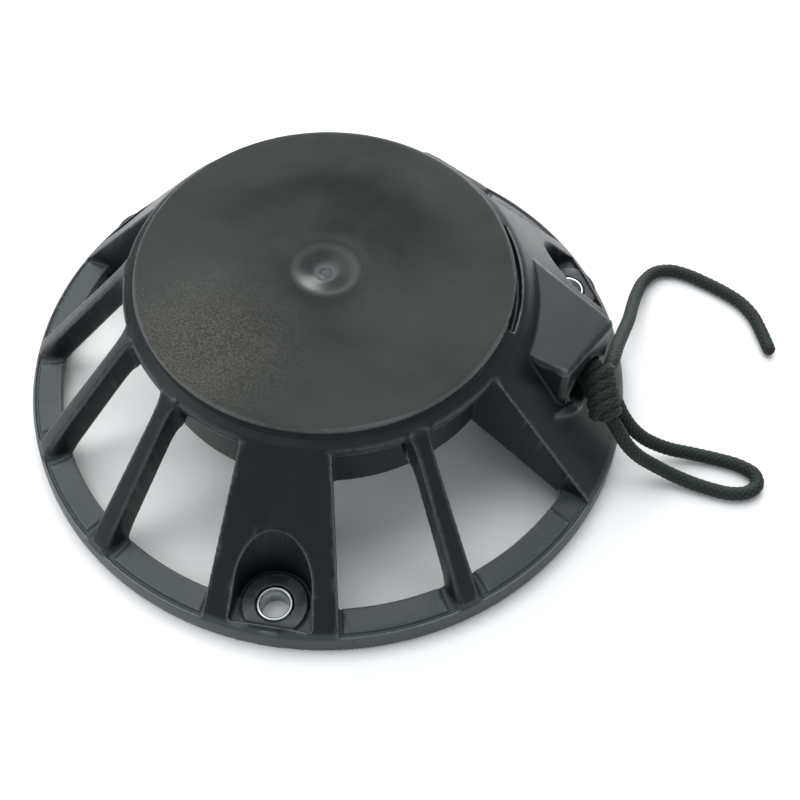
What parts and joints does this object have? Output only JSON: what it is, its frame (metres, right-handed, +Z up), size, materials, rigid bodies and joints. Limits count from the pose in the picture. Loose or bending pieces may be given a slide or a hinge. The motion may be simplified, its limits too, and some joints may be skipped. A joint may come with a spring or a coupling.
{
  "type": "recoil starter",
  "caption": "Recoil starter for a small engine: spoked conical housing with bolt pads, sprung rope pulley, swinging pawls and a pull cord that leaves through a side outlet.",
  "frame": {"origin": "centre of the ring's underside, on the pulley's axis", "axes": "+Z up out of the disc, along the pulley's axis; -Y towards the first bolt pad"},
  "size_m": [0.24, 0.19, 0.055],
  "materials": {
    "black_nylon": "moulded glass-filled nylon, satin",
    "grey_acetal": "moulded acetal, satin",
    "natural_acetal": "moulded acetal, satin",
    "zinc_steel": "zinc plated, semi-bright",
    "spring_steel": "oiled spring steel",
    "blackened_steel": "blackened, semi-matt",
    "braided_rope": "braided polyester starter cord"
  },
  "bodies": {
    "housing": {"housing": "black_nylon", "mount_sleeve_1": "zinc_steel", "mount_sleeve_2": "zinc_steel", "mount_sleeve_3": "zinc_steel", "rope_eyelet": "blackened_steel", "rope_lead": "braided_rope", "recoil_spring": "spring_steel", "brake_spring": "spring_steel", "end_washer": "zinc_steel", "centre_screw": "zinc_steel"},
    "pulley": {"pulley": "grey_acetal", "spring_keeper": "zinc_steel", "rope_coil": "braided_rope", "rope_anchor_knot": "braided_rope", "thrust_washer": "spring_steel", "pawl_spring_1": "spring_steel", "pawl_spring_2": "spring_steel"},
    "retainer": {"retainer": "zinc_steel"},
    "pawl_1": {"pawl_1": "natural_acetal"},
    "pawl_2": {"pawl_2": "natural_acetal"},
    "rope_end": {"rope_knot": "braided_rope", "rope_loop": "braided_rope", "rope_tail": "braided_rope"}
  },
  "joints": [
    {"name": "pulley_spin", "type": "hinge", "parent": "housing", "child": "pulley", "pos_m": [0, 0, 0.0305], "axis": [0, 0, -1], "range_deg": [0, 1800], "stiffness_Nm_per_rad": 0.01, "springref_deg": -1718.87},
    {"name": "rope_pull", "type": "slide", "parent": "housing", "child": "rope_end", "axis": [0.7738, -0.6334, 0], "range_m": [0, 1.12]},
    {"name": "retainer_lag", "type": "hinge", "parent": "pulley", "child": "retainer", "pos_m": [0, 0, 0.02], "axis": [0, 0, 1], "range_deg": [0, 30], "stiffness_Nm_per_rad": 0.02, "springref_deg": -28.65},
    {"name": "pawl_1_swing", "type": "hinge", "parent": "pulley", "child": "pawl_1", "pos_m": [0.017, 0, 0.0233], "axis": [0, 0, 1], "range_deg": [0, 39.2]},
    {"name": "pawl_2_swing", "type": "hinge", "parent": "pulley", "child": "pawl_2", "pos_m": [-0.017, 0, 0.0233], "axis": [0, 0, 1], "range_deg": [0, 39.2]}
  ],
  "couplings": [
    {"joint": "rope_pull", "follows": "pulley_spin", "m_per_rad": 0.035},
    {"joint": "pawl_1_swing", "follows": "retainer_lag", "ratio": 1.3},
    {"joint": "pawl_2_swing", "follows": "retainer_lag", "ratio": 1.3}
  ]
}
